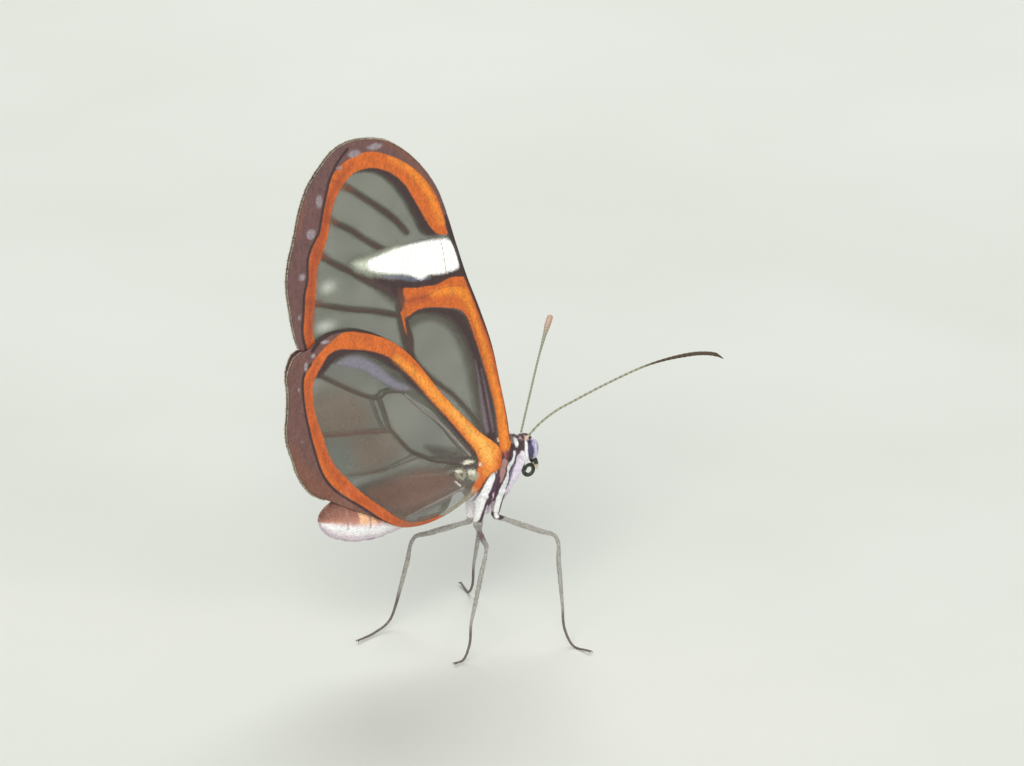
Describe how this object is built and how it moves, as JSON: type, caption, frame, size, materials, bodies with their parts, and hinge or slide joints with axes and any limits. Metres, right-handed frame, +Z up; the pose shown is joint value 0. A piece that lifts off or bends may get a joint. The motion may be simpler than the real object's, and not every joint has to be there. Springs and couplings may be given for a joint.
{
  "type": "clearwing butterfly",
  "caption": "Life-size still model of a clearwing butterfly (Heterosais nephele), standing with its wings closed upright.",
  "frame": {"origin": "bottom centre of the box, on the floor that the feet stand on", "axes": "+X forwards to the head, +Y the animal's left, +Z up"},
  "size_m": [0.0334, 0.0198, 0.0408],
  "materials": {
    "wing": "scaled, satin, with clear panes",
    "body_hair": "short white and maroon hair",
    "abdomen": "fine brown and white scales",
    "eye": "glossy, dark",
    "antenna": "fine ringed, matte",
    "leg": "grey with white flecks"
  },
  "bodies": {
    "root": {"head": "body_hair", "eye_left": "eye", "eye_right": "eye", "antenna_left": "antenna", "antenna_right": "antenna", "palp_left": "body_hair", "palp_right": "body_hair", "proboscis": "antenna", "thorax": "body_hair", "abdomen": "abdomen", "forewing_left": "wing", "forewing_right": "wing", "hindwing_left": "wing", "hindwing_right": "wing", "leg_hind_left": "leg", "leg_hind_right": "leg", "leg_mid_left": "leg", "leg_mid_right": "leg", "foreleg_left": "leg", "foreleg_right": "leg"}
  },
  "joints": []
}
